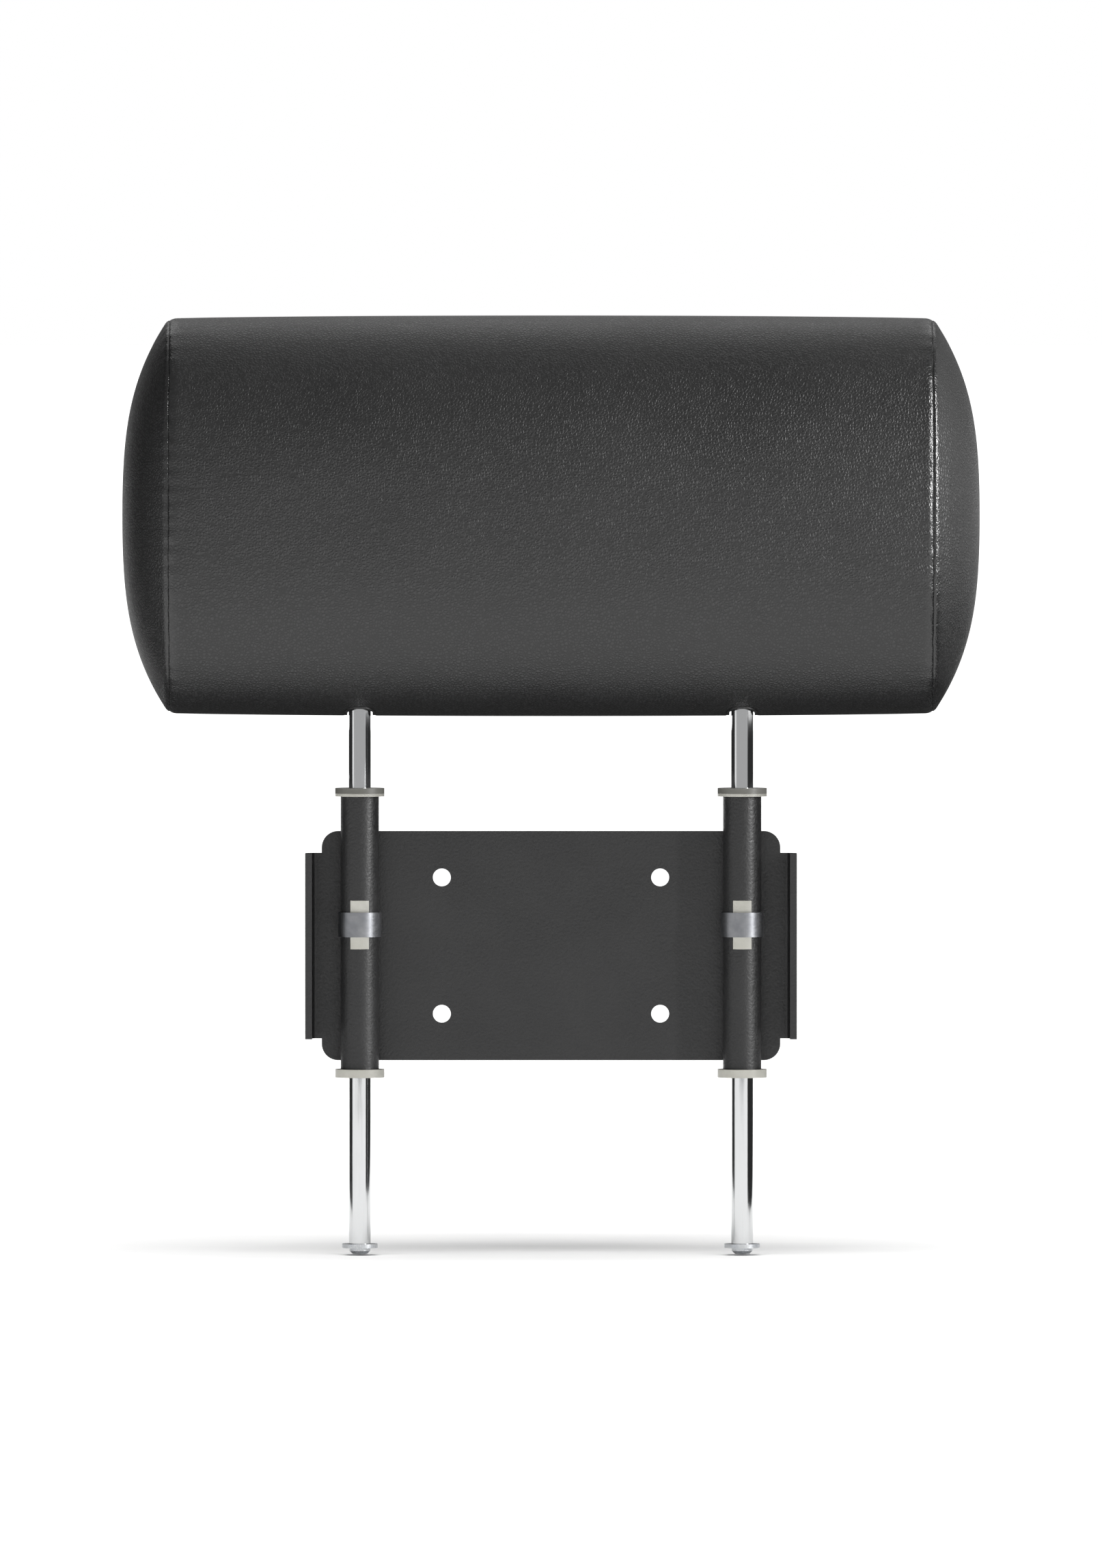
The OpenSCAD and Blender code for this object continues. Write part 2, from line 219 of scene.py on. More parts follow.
def sweep_faces(rings, sides):
    """The same quads, and caps over the first ring and the last."""
    last = (rings - 1) * sides
    caps = [tuple(reversed(range(sides))), tuple(range(last, last + sides))]
    return ring_faces(rings, sides) + caps


def add_part(points, faces, part_points, part_faces):
    """Adds a closed part to the points and faces of a mesh."""
    faces += [tuple(v + len(points) for v in face) for face in part_faces]
    points += part_points


# ---------- Node helpers ----------


class Material:
    """A Principled material whose pattern nodes read the object's own coordinates, in metres."""

    def __init__(self, name, roughness, metallic=0.0, color=None, **sockets):
        self.material = bpy.data.materials.new(name)
        self.material.use_nodes = True
        self.nodes = self.material.node_tree.nodes
        self.links = self.material.node_tree.links
        self.shader = next(n for n in self.nodes if n.type == "BSDF_PRINCIPLED")
        self.shader.inputs["Roughness"].default_value = roughness
        self.shader.inputs["Metallic"].default_value = metallic
        if color:
            self.shader.inputs["Base Color"].default_value = (*color, 1.0)
        for socket, value in sockets.items():
            self.shader.inputs[socket.replace("_", " ")].default_value = value
        self.place = self.node("TexCoord").outputs["Object"]

    def node(self, kind, **settings):
        made = self.nodes.new("ShaderNode" + kind)
        for key, value in settings.items():
            setattr(made, key, value)
        return made

    def feed(self, socket, value):
        if isinstance(value, bpy.types.NodeSocket):
            self.links.new(value, socket)
        else:
            socket.default_value = value

    def stretched(self, x, y, z):
        """The object's coordinates, scaled along each axis."""
        mapping = self.node("Mapping")
        self.feed(mapping.inputs["Vector"], self.place)
        mapping.inputs["Scale"].default_value = (x, y, z)
        return mapping.outputs["Vector"]

    def noise(self, size, detail=3.0, place=None):
        """Noise whose blobs are about size across."""
        made = self.node("TexNoise")
        self.feed(made.inputs["Vector"], place or self.place)
        made.inputs["Scale"].default_value = 1.0 / size
        made.inputs["Detail"].default_value = detail
        return made.outputs["Fac"]

    def cells(self, size, place=None):
        """Cells about size across: the distance to their nearest edge."""
        made = self.node("TexVoronoi", feature="DISTANCE_TO_EDGE")
        self.feed(made.inputs["Vector"], place or self.place)
        made.inputs["Scale"].default_value = 1.0 / size
        return made.outputs["Distance"]

    def warped(self, size, amount):
        """The object's coordinates, pushed about by noise so that cells lose their straight edges."""
        colour = self.node("TexNoise")
        self.feed(colour.inputs["Vector"], self.place)
        colour.inputs["Scale"].default_value = 1.0 / size
        push = self.node("VectorMath", operation="MULTIPLY_ADD")
        self.feed(push.inputs[0], colour.outputs["Color"])
        push.inputs[1].default_value = (amount, amount, amount)
        self.feed(push.inputs[2], self.place)
        return push.outputs["Vector"]

    def spread(self, value, low, high, to_low=0.0, to_high=1.0, curve="LINEAR"):
        """value between low and high, stretched to the range to_low to to_high."""
        made = self.node("MapRange", interpolation_type=curve)
        self.feed(made.inputs["Value"], value)
        ends = {"From Min": low, "From Max": high, "To Min": to_low, "To Max": to_high}
        for socket, number in ends.items():
            made.inputs[socket].default_value = number
        return made.outputs["Result"]

    def math(self, operation, a, b=0.0):
        made = self.node("Math", operation=operation)
        self.feed(made.inputs[0], a)
        self.feed(made.inputs[1], b)
        return made.outputs["Value"]

    def attribute(self, name):
        return self.node("Attribute", attribute_name=name).outputs["Fac"]

    def blend(self, factor, first, second):
        """A colour between first and second."""
        made = self.node("Mix", data_type="RGBA")
        self.feed(made.inputs[0], factor)
        for socket, colour in ((made.inputs[6], first), (made.inputs[7], second)):
            self.feed(socket, colour if isinstance(colour, bpy.types.NodeSocket) else (*colour, 1.0))
        return made.outputs[2]

    def color(self, colour):
        self.feed(self.shader.inputs["Base Color"], colour)

    def roughness(self, value):
        self.feed(self.shader.inputs["Roughness"], value)

    def relief(self, *layers):
        """Bumps, each given as its height pattern and its depth in metres."""
        below = None
        for height, depth in layers:
            bump = self.node("Bump")
            self.feed(bump.inputs["Height"], height)
            bump.inputs["Distance"].default_value = depth
            if below:
                self.links.new(below, bump.inputs["Normal"])
            below = bump.outputs["Normal"]
        self.links.new(below, self.shader.inputs["Normal"])


# ---------- Materials ----------


def leather():
    """Black leather with fine pebbled grain, painted darker in the creases between the pebbles as painted
    shade, stretched smooth and rubbed shiny along its seams.
    """
    m = Material("black_leather", roughness=0.38, Specular_IOR_Level=0.56)
    place = m.warped(size=2.5 * MM, amount=0.7 * MM)
    rubbed = m.attribute("rubbed")
    pebbles = m.spread(m.cells(1.15 * MM, place=place), 0.0, 0.34, curve="SMOOTHSTEP")
    pores = m.noise(0.35 * MM, detail=2.0)
    smoothed = m.spread(rubbed, 0, 1, 1, 0.35)
    creases = m.noise(9 * MM, detail=4.0)
    clouds = m.noise(45 * MM, detail=2.0)
    tone = m.blend(m.spread(clouds, 0.35, 0.65), (0.022, 0.022, 0.0225), (0.027, 0.027, 0.0275))
    # Painted shade: the creases between the pebbles, which the bump sinks, are coloured darker than the
    # pebbles' tops.
    grain = m.blend(pebbles, (0.009, 0.009, 0.009), tone)
    m.color(m.blend(m.spread(rubbed, 0, 1, 0, 0.25), grain, (0.04, 0.04, 0.041)))
    matt = m.math("ADD", m.spread(clouds, 0.3, 0.7, 0.34, 0.41), m.spread(pebbles, 0, 1, 0.12, 0.0))
    m.roughness(m.math("SUBTRACT", matt, m.spread(rubbed, 0, 1, 0, 0.24)))
    m.relief(
        (creases, 0.25 * MM),
        (m.math("MULTIPLY", pebbles, smoothed), 0.10 * MM),
        (m.math("MULTIPLY", pores, smoothed), 0.015 * MM),
    )
    return m.material


def chrome():
    """Polished chrome with faint rub marks along the post."""
    m = Material("chrome_rod", roughness=0.06, metallic=1.0, color=(0.55, 0.556, 0.56))
    streaks = m.noise(0.5 * MM, detail=2.0, place=m.stretched(1, 1, 0.02))
    smears = m.noise(18 * MM, detail=3.0)
    streaked = m.spread(streaks, 0.45, 0.75, 0.04, 0.10)
    m.roughness(m.math("ADD", streaked, m.spread(smears, 0.5, 0.8, 0.0, 0.06)))
    m.relief((streaks, 0.002 * MM))
    return m.material


def powder_coat():
    """Black powder coat with orange-peel texture, faintly cloudy."""
    m = Material("black_powder_coat", roughness=0.45)
    peel = m.noise(0.9 * MM, detail=1.5)
    clouds = m.noise(25 * MM, detail=3.0)
    m.color(m.blend(m.spread(clouds, 0.3, 0.8), (0.015, 0.015, 0.0155), (0.022, 0.022, 0.0225)))
    matt = m.spread(peel, 0.3, 0.7, 0.34, 0.48)
    m.roughness(m.math("ADD", matt, m.spread(clouds, 0.4, 0.8, 0.0, 0.08)))
    m.relief((peel, 0.10 * MM))
    return m.material


def plated_steel(name, dark, light, roughness, brush):
    """Plated or tempered steel, with fine brush marks and cloudy colour."""
    m = Material(name, roughness=roughness, metallic=1.0)
    marks = m.noise(0.25 * MM, detail=2.0, place=m.stretched(*brush))
    clouds = m.noise(4 * MM, detail=3.0)
    m.color(m.blend(m.spread(clouds, 0.3, 0.7), dark, light))
    m.roughness(m.spread(marks, 0.3, 0.7, roughness - 0.06, roughness + 0.10))
    m.relief((marks, 0.003 * MM))
    return m.material


def zinc_plate():
    """Zinc plate of the screws, washers and tee nuts."""
    dark, light = (0.50, 0.52, 0.55), (0.66, 0.67, 0.68)
    return plated_steel("zinc_plated_steel", dark, light, roughness=0.28, brush=(1, 1, 0.1))


def spring_steel():
    """Tempered steel of the brake clips, brushed round the tube."""
    dark, light = (0.20, 0.205, 0.22), (0.27, 0.275, 0.285)
    return plated_steel("spring_steel", dark, light, roughness=0.34, brush=(0.1, 0.1, 1))


def nylon(name, dark, light, roughness):
    """Moulded nylon with a faint satin texture."""
    m = Material(name, roughness=roughness)
    clouds = m.noise(7 * MM, detail=3.0)
    satin = m.noise(0.3 * MM, detail=1.0)
    m.color(m.blend(m.spread(clouds, 0.3, 0.7), dark, light))
    m.roughness(m.spread(satin, 0.3, 0.7, roughness - 0.05, roughness + 0.08))
    m.relief((satin, 0.02 * MM), (clouds, 0.05 * MM))
    return m.material


def plywood(board):
    """Birch plywood: long grain on its faces and thin layers on its edges."""
    plies = 7
    low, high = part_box(board)
    m = Material("plywood", roughness=0.6)
    grain = m.noise(1.4 * MM, detail=6.0, place=m.stretched(0.06, 1, 1))
    rings = m.noise(16 * MM, detail=2.0, place=m.stretched(0.15, 1, 1))
    depth = m.node("SeparateXYZ")
    m.feed(depth.inputs[0], m.place)
    from_front = m.math("SUBTRACT", depth.outputs["Y"], low.y)
    layers = m.math("SINE", m.math("MULTIPLY", from_front, plies * math.pi / (high.y - low.y)))
    face = m.blend(m.spread(grain, 0.35, 0.7), (0.52, 0.36, 0.19), (0.68, 0.51, 0.30))
    warm = m.blend(m.spread(rings, 0.45, 0.6, 0.0, 0.45), face, (0.42, 0.26, 0.12))
    m.color(m.blend(m.spread(layers, 0.2, 0.9, 0.0, 0.35), warm, (0.30, 0.18, 0.08)))
    m.relief((grain, 0.08 * MM))
    return m.material


def foam():
    """Open-cell foam, painted darker along the edges of its cells as painted shade in the grooves between
    them.
    """
    m = Material("foam", roughness=0.95)
    cells = m.cells(0.9 * MM)
    clouds = m.noise(20 * MM, detail=3.0)
    tone = m.blend(m.spread(clouds, 0.3, 0.7), (0.72, 0.62, 0.34), (0.80, 0.72, 0.46))
    # Painted shade: the cells' edges, which the bump sinks, are coloured darker than their middles.
    m.color(m.blend(m.spread(cells, 0.0, 0.25), (0.42, 0.34, 0.15), tone))
    m.relief((cells, 0.5 * MM), (clouds, 0.8 * MM))
    return m.material


def thread():
    """Twisted black polyester thread, painted darker in the grooves of its twist as painted shade."""
    m = Material("black_thread", roughness=0.6, Sheen_Weight=0.4)
    twist = m.node("TexWave", wave_type="BANDS", bands_direction="DIAGONAL")
    m.feed(twist.inputs["Vector"], m.place)
    twist.inputs["Scale"].default_value = 1.0 / (0.5 * MM)
    # Painted shade: the grooves of the twist, which the bump sinks, are coloured darker than its ridges.
    m.color(m.blend(twist.outputs["Fac"], (0.010, 0.010, 0.010), (0.04, 0.04, 0.04)))
    m.relief((twist.outputs["Fac"], 0.08 * MM))
    return m.material


# ---------- Section of the pad ----------


class Section:
    """The pad's superellipse section, measured by arc length from its rearmost point upwards."""

    def __init__(self):
        low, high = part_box("cover_wrap")
        self.centre_y = (low.y + high.y) / 2
        self.centre_z = (low.z + high.z) / 2
        self.half_y = (high.y - low.y) / 2
        self.half_z = (high.z - low.z) / 2
        self.seam_x = high.x
        self.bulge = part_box("cover_end_left")[1].x - high.x
        self.angles = np.linspace(0, 2 * math.pi, SECTION_SAMPLES + 1)
        steps = np.diff(self.at_angle(self.angles, SLACK), axis=0)
        self.arc = np.concatenate([[0], np.cumsum(np.hypot(steps[:, 0], steps[:, 1]))])
        self.length = self.arc[-1]

    def at_angle(self, angle, inset):
        """(y, z) from the section's middle."""
        power = 2 / SECTION_POWER
        y = (self.half_y - inset) * np.sign(np.cos(angle)) * np.abs(np.cos(angle)) ** power
        z = (self.half_z - inset) * np.sign(np.sin(angle)) * np.abs(np.sin(angle)) ** power
        return np.stack([y, z], axis=-1)

    def at_arc(self, arc, inset=SLACK):
        return self.at_angle(np.interp(np.mod(arc, self.length), self.arc, self.angles), inset)

    def arc_of_angle(self, degrees):
        return float(np.interp(math.radians(degrees), self.angles, self.arc))


def stations(section):
    """Arc lengths of the coarse mesh's points: even, but closer together beside the closing seam."""
    beside = section.arc_of_angle(CLOSING_ANGLE) + BESIDE_CLOSING
    others = AROUND - len(beside)
    onwards = np.linspace(beside[-1], beside[0] + section.length, others + 2)[1:-1]
    return np.sort(np.mod(np.concatenate([beside, onwards]), section.length))


# ---------- Leather cover ----------


def wrap_lines(section):
    """x of the coarse mesh's rings, from the right seam to the left: closer by the seams and slots."""
    low, high = slot_box("left")
    features = np.array([low.x, high.x, section.seam_x])
    half = [section.seam_x]
    while half[-1] > 0:
        step = FINEST + COARSENING * np.min(np.abs(features - half[-1]))
        half.append(half[-1] - min(step, COARSEST))
    stretch = section.seam_x / (section.seam_x - half[-1])
    half = section.seam_x - stretch * (section.seam_x - np.array(half))
    return np.concatenate([-half, half[::-1][1:]])


def square_ring_place(i, j, k):
    """Place along square ring k of the grid point (i, j), counted from (k, 0) towards (k, k)."""
    if i == k and j >= 0:
        return j
    if j == k:
        return 2 * k - i
    if i == -k:
        return 4 * k - j
    if j == -k:
        return 6 * k + i
    return 8 * k + j


def slack_cover(section):
    """The closed cover before it is inflated. Returns the object, and the seam's vertices at each end.

    Rings run along the wrap. Each end is a square grid, wrapped so that its border meets the seam.
    """
    arcs = stations(section)
    lines = wrap_lines(section)
    points = []
    for x in lines:
        ring = section.at_arc(arcs, SLACK + (SEAM_SLACK - SLACK) * (x / section.seam_x) ** 2)
        points += [(x, section.centre_y + y, section.centre_z + z) for y, z in ring]
    last = (len(lines) - 1) * AROUND
    faces = ring_faces(len(lines), AROUND)
    panels = [WRAP] * len(faces)
    for panel, side, first in ((RIGHT_END, -1, 0), (LEFT_END, 1, last)):
        grid = add_end_points(points, section, arcs, side, first)
        made = [
            (grid[i, j], grid[i + 1, j], grid[i + 1, j + 1], grid[i, j + 1])
            for i in range(-CAP_RINGS, CAP_RINGS)
            for j in range(-CAP_RINGS, CAP_RINGS)
        ]
        faces += made if side > 0 else [f[::-1] for f in made]
        panels += [panel] * len(made)
    cover = mesh_object("cover_form", points, faces)
    cover.data.polygons.foreach_set("material_index", panels)
    seams = list(range(AROUND)) + list(range(last, last + AROUND))
    return cover, seams


def add_end_points(points, section, arcs, side, first):
    """Adds one end's inner points. Returns the vertex of each grid place, (i, j)."""
    closed = np.append(arcs, arcs[0] + section.length)
    grid = {}
    for i in range(-CAP_RINGS, CAP_RINGS + 1):
        for j in range(-CAP_RINGS, CAP_RINGS + 1):
            k = max(abs(i), abs(j))
            place = square_ring_place(i, j, k) * AROUND / (8 * k) if k else 0.0
            if k == CAP_RINGS:
                grid[i, j] = first + round(place) % AROUND
                continue
            rho = 1 - (1 - k / CAP_RINGS) ** RING_CROWDING
            y, z = rho * section.at_arc(np.interp(place, np.arange(AROUND + 1), closed), SEAM_SLACK)
            x = side * (section.seam_x + (section.bulge - SLACK) * (1 - rho**3))
            grid[i, j] = len(points)
            points.append((x, section.centre_y + y, section.centre_z + z))
    return grid


def inflate(cover, pinned):
    """Blows the cover up with its seams held, and keeps each point's way below SWELL_CAP."""
    start = coordinates(cover.data)
    pins = cover.vertex_groups.new(name="seams")
    pins.add(pinned, 1.0, "REPLACE")
    cloth = cover.modifiers.new("Cloth", "CLOTH")
    settings = cloth.settings
    settings.quality = 6
    settings.mass = 0.4
    settings.tension_stiffness = 40
    settings.compression_stiffness = 40
    settings.shear_stiffness = 20
    settings.bending_stiffness = 2
    settings.vertex_group_mass = pins.name
    settings.use_pressure = True
    settings.uniform_pressure_force = PRESSURE
    settings.effector_weights.gravity = 0
    cloth.point_cache.frame_end = SETTLE_FRAMES
    for frame in range(1, SETTLE_FRAMES + 1):
        bpy.context.scene.frame_set(frame)
    graph = bpy.context.evaluated_depsgraph_get()
    way = coordinates(cover.evaluated_get(graph).data) - start
    bpy.context.scene.frame_set(1)
    cover.modifiers.clear()
    length = np.linalg.norm(way, axis=1, keepdims=True)
    set_coordinates(cover.data, start + way * SWELL_CAP / (SWELL_CAP + length))


def crease_seams(cover, seams):
    """Keeps the end seams sharp in the subdivision."""
    on_seam = set(seams)
    sharp = [float(on_seam.issuperset(edge.vertices)) for edge in cover.data.edges]
    crease = cover.data.attributes.new("crease_edge", "FLOAT", "EDGE")
    crease.data.foreach_set("value", sharp)


def subdivide(cover, levels):
    smooth = cover.modifiers.new("Subdivision", "SUBSURF")
    smooth.levels = smooth.render_levels = levels
    apply_modifiers(cover)


def roll(distance, radius, slope):
    """How deep the leather turns in at a distance from its edge.

    The turn is an arc of the given radius, whose end leans at asin(slope).
    """
    reach = np.clip(radius * slope - distance, 0, radius * slope)
    return radius - np.sqrt(radius**2 - reach**2)


def slot_box(side):
    """The box of a slot's cut edge, in X and Y."""
    low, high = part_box(f"slot_trim_{side}")
    inset = Vector((TRIM_LIP, TRIM_LIP, 0))
    return low + inset, high - inset


def slot_distance(points, section):
    """Distance from the nearer slot's edge, for points on the underside."""
    nearest = np.full(len(points), FAR)
    for side in ("left", "right"):
        low, high = slot_box(side)
        radius = (high.x - low.x) / 2
        along = np.clip(points[:, 1], low.y + radius, high.y - radius)
        centre_x = (low.x + high.x) / 2
        away = np.hypot(points[:, 0] - centre_x, points[:, 1] - along) - radius
        nearest = np.minimum(nearest, np.clip(away, 0, None))
    return np.where(points[:, 2] < section.centre_z, nearest, FAR)


def puckers(turns, distance, depth, reach):
    """Depth of the dimples along a seam, one a turn, which fade with the distance from it."""
    return depth * np.exp(-distance / reach) * (0.5 + 0.5 * np.cos(2 * math.pi * turns))


def shape_seams(cover, section):
    """Turns the leather in along its seams and slots, and puckers it along the seams.

    Returns the points and the normals from before.
    """
    points = coordinates(cover.data)
    outwards = normals(cover.data)
    flat = points[:, 1:] - (section.centre_y, section.centre_z)
    arcs = nearest_arcs(flat, section)
    on_wrap = np.abs(points[:, 0]) <= section.seam_x + SEAM_TOLERANCE
    to_end = end_seam_distance(points, flat, section)
    to_closing = np.where(on_wrap, np.abs(arcs - section.arc_of_angle(CLOSING_ANGLE)), FAR)
    at_ends = np.where(on_wrap, roll(to_end, WRAP_ROLL, WRAP_SLOPE), roll(to_end, END_ROLL, END_SLOPE))
    at_closing = roll(to_closing, CLOSING_ROLL, WRAP_SLOPE)
    at_slots = roll(slot_distance(points, section), SLOT_ROLL, WRAP_SLOPE)
    depth = np.maximum.reduce([at_ends, at_closing, at_slots])
    end_turns = arcs / PUCKER_PITCH + PUCKER_DRIFT * np.sin(arcs / PUCKER_DRIFT_LENGTH)
    depth += puckers(end_turns, to_end, PUCKER_DEPTH, PUCKER_REACH)
    closing_turns = points[:, 0] / STITCH_PITCH
    depth += puckers(closing_turns, to_closing, CLOSING_PUCKER_DEPTH, CLOSING_PUCKER_REACH)
    set_coordinates(cover.data, points - outwards * depth[:, None])
    rubbed = cover.data.attributes.new("rubbed", "FLOAT", "POINT")
    rubbed.data.foreach_set("value", np.exp(-((to_end / RUBBED_REACH) ** 2)).astype(np.float32))
    return points, outwards


def nearest_arcs(flat, section):
    """Arc length of the section's point that is nearest to each (y, z)."""
    tree = KDTree(SECTION_SAMPLES)
    for i, (y, z) in enumerate(section.at_angle(section.angles[:-1], SLACK)):
        tree.insert((y, z, 0), i)
    tree.balance()
    return section.arc[[tree.find((y, z, 0))[1] for y, z in flat]]


def end_seam_distance(points, flat, section):
    """Distance from the nearer end seam, measured along the wrap or inwards over the end panel."""
    smallest_share = 1e-6
    along = section.seam_x - np.abs(points[:, 0])
    share = (
        np.abs(flat[:, 0] / (section.half_y - SEAM_SLACK)) ** SECTION_POWER
        + np.abs(flat[:, 1] / (section.half_z - SEAM_SLACK)) ** SECTION_POWER
    ) ** (1 / SECTION_POWER)
    inwards = np.linalg.norm(flat, axis=1) * np.clip(1 / np.maximum(share, smallest_share) - 1, 0, None)
    return np.where(along >= 0, along, np.hypot(inwards, along))


def panel_shell(cover, panel, name, base, outwards):
    """One leather panel as a closed shell: its shaped face, an even back and the turned edge between."""
    mesh = cover.data
    shaped = coordinates(mesh)
    rubbed = np.empty(len(shaped), np.float32)
    mesh.attributes["rubbed"].data.foreach_get("value", rubbed)
    faces = [tuple(p.vertices) for p in mesh.polygons if p.material_index == panel]
    used = sorted({v for f in faces for v in f})
    number = {v: n for n, v in enumerate(used)}
    count = len(used)
    outer = [tuple(number[v] for v in f) for f in faces]
    inner = [tuple(v + count for v in reversed(f)) for f in outer]
    edges = [edge for face in outer for edge in zip(face, face[1:] + face[:1])]
    paired = set(edges)
    rim = [(b, a, a + count, b + count) for a, b in edges if (b, a) not in paired]
    back = base[used] - outwards[used] * LEATHER_THICKNESS
    shell = mesh_object(name, np.vstack([shaped[used], back]), outer + inner + rim)
    wear = shell.data.attributes.new("rubbed", "FLOAT", "POINT")
    wear.data.foreach_set("value", np.concatenate([rubbed[used], np.zeros(count, np.float32)]))
    return shell


def stadium_prism(low, high, bottom, top, arc_points=25):
    """Upright prism with round front and rear ends that fills the box from low to high in X and Y."""
    radius = (high.x - low.x) / 2
    middle_x = (low.x + high.x) / 2
    turn = np.linspace(0, math.pi, arc_points)
    rear = [(middle_x + radius * math.cos(a), high.y - radius + radius * math.sin(a)) for a in turn]
    front = [(middle_x - radius * math.cos(a), low.y + radius - radius * math.sin(a)) for a in turn]
    outline = rear + front
    points = [(x, y, z) for z in (bottom, top) for x, y in outline]
    return mesh_object("slot_cutter", points, sweep_faces(2, len(outline)), smooth=False)


def cut_slots(wrap):
    """Opens the wrap where the posts pass, round the walls of the trims."""
    for side in ("left", "right"):
        low, high = slot_box(side)
        cutter = stadium_prism(low, high, low.z - CUT_BELOW, high.z + CUT_ABOVE)
        cut = wrap.modifiers.new("Slot", "BOOLEAN")
        cut.operation = "DIFFERENCE"
        cut.solver = "EXACT"
        cut.object = cutter
        apply_modifiers(wrap)
        bpy.data.objects.remove(cutter)


def make_cover(section):
    """The three sewn leather panels. Each stands for its CAD solid."""
    form, seams = slack_cover(section)
    inflate(form, seams)
    crease_seams(form, seams)
    subdivide(form, SUBDIVISIONS)
    base, outwards = shape_seams(form, section)
    wrap = panel_shell(form, WRAP, "leather_wrap", base, outwards)
    right = panel_shell(form, RIGHT_END, "leather_end_right", base, outwards)
    left = panel_shell(form, LEFT_END, "leather_end_left", base, outwards)
    bpy.data.objects.remove(form)
    cut_slots(wrap)
    hide = leather()
    for panel, node in ((wrap, "cover_wrap"), (right, "cover_end_right"), (left, "cover_end_left")):
        panel.data.materials.clear()
        panel.data.materials.append(hide)
        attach(panel, "pad")
        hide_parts(node)


# ---------- Closing seam's stitches ----------


def tube_along(path, radius, sides=8, end_taper=0.45):
    """Points and faces of a closed tube along a short path, narrowed at its two ends."""
    last = len(path) - 1
    points = []
    for n, place in enumerate(path):
        ahead = path[min(n + 1, last)] - path[max(n - 1, 0)]
        across = ahead.orthogonal().normalized()
        up = ahead.normalized().cross(across)
        reach = radius * (end_taper if n in (0, last) else 1.0)
        for s in range(sides):
            turn = 2 * math.pi * s / sides
            points.append(place + reach * (math.cos(turn) * across + math.sin(turn) * up))
    return points, sweep_faces(len(path), sides)


def closing_stitches(section):
    """Ladder stitches that close the cover, across the seam low on the pad's front."""
    arc = section.arc_of_angle(CLOSING_ANGLE)
    ahead = section.at_arc(arc + MM) - section.at_arc(arc - MM)
    along = Vector((0, *ahead)).normalized()
    outwards = Vector((0, along.z, -along.y))
    middle = Vector((0, *section.at_arc(arc))) + Vector((0, section.centre_y, section.centre_z))
    slant = Vector((STITCH_SLANT, 0, 0))
    count = int(2 * (section.seam_x - STITCH_MARGIN) / STITCH_PITCH)
    points, faces = [], []
    for n in range(count + 1):
        place = middle + Vector(((n - count / 2) * STITCH_PITCH, 0, 0))
        path = [
            place + slant * t + along * (STITCH_REACH * t) - outwards * (STITCH_SINK * t**4)
            for t in np.linspace(-1, 1, STITCH_POINTS)
        ]
        add_part(points, faces, *tube_along(path, THREAD_RADIUS))
    stitches = mesh_object("closing_stitches", points, faces)
    stitches.data.materials.append(thread())
    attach(stitches, "pad")


# ---------- Welds ----------


def weld_bead(tube_x, outer, plate_y, bottom, steps=64, sides=14):
    """Points and faces of one fillet weld between a tube and the plate, with its ripples.

    outer is 1 on the tube's +X side and -1 on the other.
    """
    rng = np.random.default_rng(SEED)
    drift = rng.uniform(-WELD_DRIFT, WELD_DRIFT, steps + 1)
    points = []
    for n in range(steps + 1):
        z = bottom + WELD_LENGTH * n / steps
        from_end = min(n, steps - n) / WELD_END_STEPS
        swell = min(1.0, math.sqrt(max(from_end, WELD_SMALLEST_SWELL)))
        ripple = RIPPLE_DEPTH * abs(math.sin(math.pi * n / RIPPLE_STEPS))
        leg = (WELD_LEG + drift[n]) * swell + WELD_END_LEG * (1 - swell)
        for s in range(sides + 1):
            turn = math.pi / 2 * s / sides
            x = tube_x + outer * (WELD_ROOT + (leg + ripple) * math.cos(turn))
            y = plate_y + (leg * WELD_RISE + ripple) * math.sin(turn) * swell
            points.append((x, y, z + RIPPLE_BOW * math.sin(2 * turn)))
        points.append((tube_x + outer * WELD_ROOT, plate_y, z))
    faces = sweep_faces(steps + 1, sides + 2)
    return points, faces if outer > 0 else [f[::-1] for f in faces]


def make_welds(finish):
    """Rippled beads in the places of the CAD beads, on both sides of each tube, low and high."""
    low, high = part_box("weld_beads")
    points, faces = [], []
    for side in ("left", "right"):
        tube_low, tube_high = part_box(f"guide_tube_{side}")
        tube_x = (tube_low.x + tube_high.x) / 2
        for outer in (-1, 1):
            for bottom in (low.z, high.z - WELD_LENGTH):
                add_part(points, faces, *weld_bead(tube_x, outer, low.y, bottom))
    welds = mesh_object("weld_ripples", points, faces)
    welds.data.materials.append(finish)
    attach(welds, "bracket")
    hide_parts("weld_beads")


# ---------- Studio and camera ----------


def aimed(obj, place, aim):
    """Adds a light at its place, turned to its aim and hidden from the camera."""
    obj.location = place
    obj.rotation_mode = "QUATERNION"
    obj.rotation_quaternion = (Vector(aim) - Vector(place)).to_track_quat("-Z", "Y")
    obj.visible_camera = False
    bpy.context.scene.collection.objects.link(obj)
    return obj


def softbox(name, place, aim, width, height, brightness):
    """A rectangular light, whose brightness is what a mirror shows of it."""
    light = bpy.data.lights.new(name, "AREA")
    light.shape = "RECTANGLE"
    light.size = width
    light.size_y = height
    light.energy = brightness * math.pi * width * height
    return aimed(bpy.data.objects.new(name, light), place, aim)


def floor_sun(floor):
    """Lights only the floor, from high up, so that it is evenly white up to the horizon."""
    light = bpy.data.lights.new("floor_sun", "SUN")
    light.energy = 3.8
    light.angle = math.radians(70)
    sun = aimed(bpy.data.objects.new("floor_sun", light), (0, 0.65, 3.0), (0, 0, 0))
    lit = bpy.data.collections.new("floor_sun_lights")
    lit.objects.link(floor)
    sun.light_linking.receiver_collection = lit


